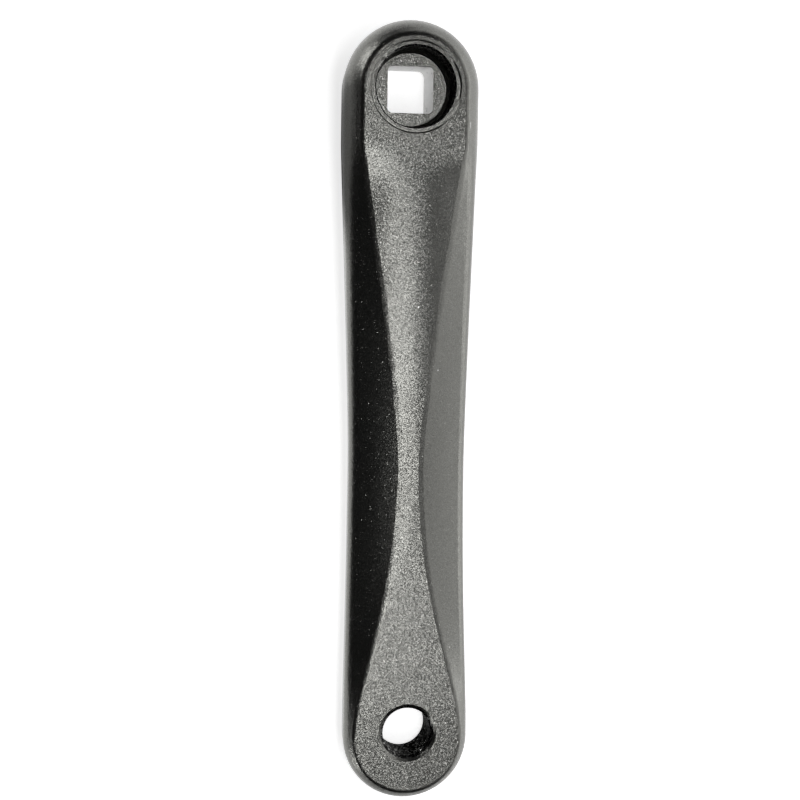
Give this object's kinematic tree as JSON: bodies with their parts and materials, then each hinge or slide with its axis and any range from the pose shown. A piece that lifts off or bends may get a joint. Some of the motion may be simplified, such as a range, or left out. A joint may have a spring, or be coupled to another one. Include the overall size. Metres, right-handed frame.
{
  "type": "bicycle crank arm",
  "caption": "Forged bicycle crank arm with an hourglass front land, a square-taper spindle socket with extractor thread, and a threaded pedal eye.",
  "frame": {"origin": "on the spindle axis, in the back face of the boss", "axes": "Z is the spindle axis and +Z points away from the bicycle; the arm runs along -Y to the pedal eye"},
  "size_m": [0.0358, 0.2062, 0.0284],
  "materials": {
    "forging": "satin dark grey, bead-blasted and anodised, with a fine sparkle"
  },
  "bodies": {
    "root": {"crank_arm": "forging"}
  },
  "joints": []
}
